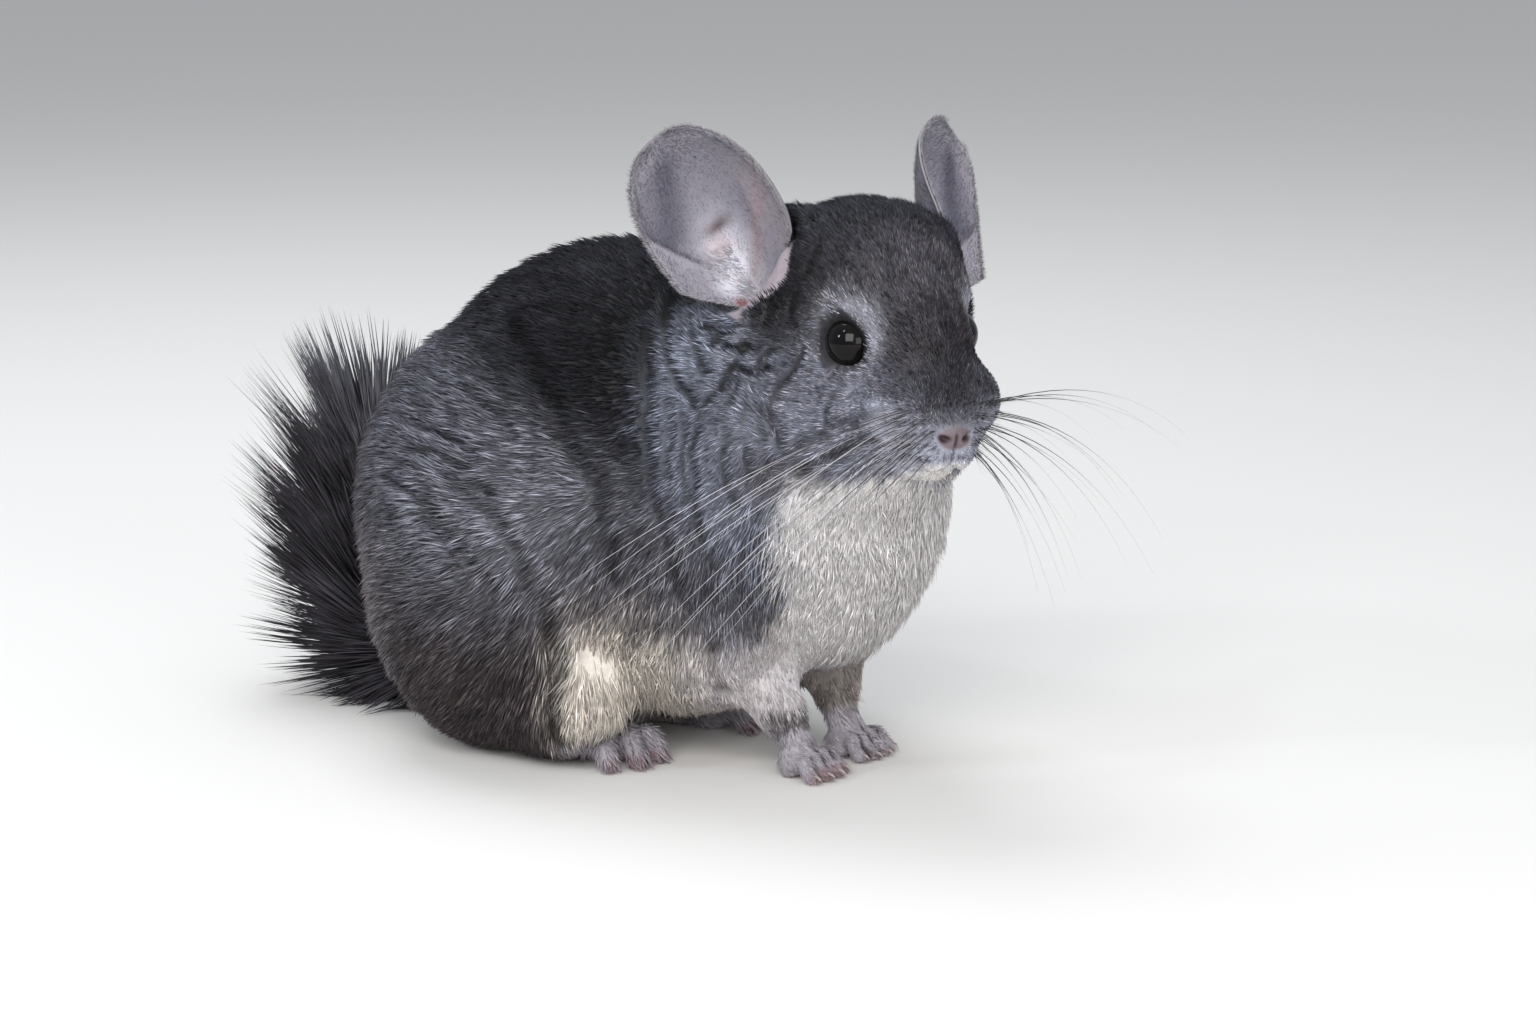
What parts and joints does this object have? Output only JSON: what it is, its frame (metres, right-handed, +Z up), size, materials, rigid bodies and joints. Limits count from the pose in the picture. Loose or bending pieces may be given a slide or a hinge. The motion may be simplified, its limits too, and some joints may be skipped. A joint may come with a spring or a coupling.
{
  "type": "chinchilla",
  "caption": "Life-size standing chinchilla with large cupped ears, plump furred body, turned head, small paws and a bushy tail curled up behind",
  "frame": {"origin": "the middle of the model's box, on the floor that its paws stand on", "axes": "+X forward from rump to chest, +Y to the animal's left, +Z up"},
  "size_m": [0.258, 0.1618, 0.1681],
  "materials": {
    "coat": "dense soft fur, slate grey",
    "tail": "long coarse fur, near black",
    "ear": "thin bare skin with fine down",
    "paw": "bare skin and very short fur",
    "eye": "wet, glossy black"
  },
  "bodies": {
    "root": {"torso": "coat", "neck": "coat", "head": "coat", "thigh_right": "coat", "thigh_left": "coat", "foreleg_right": "coat", "foreleg_left": "coat", "forepaw_right": "paw", "forepaw_left": "paw", "hind_foot_right": "paw", "hind_foot_left": "paw", "ear_right": "ear", "ear_left": "ear", "eye_right": "eye", "eye_left": "eye", "whiskers_right": "coat", "whiskers_left": "coat", "tail_base": "tail", "tail_plume": "tail"}
  },
  "joints": []
}
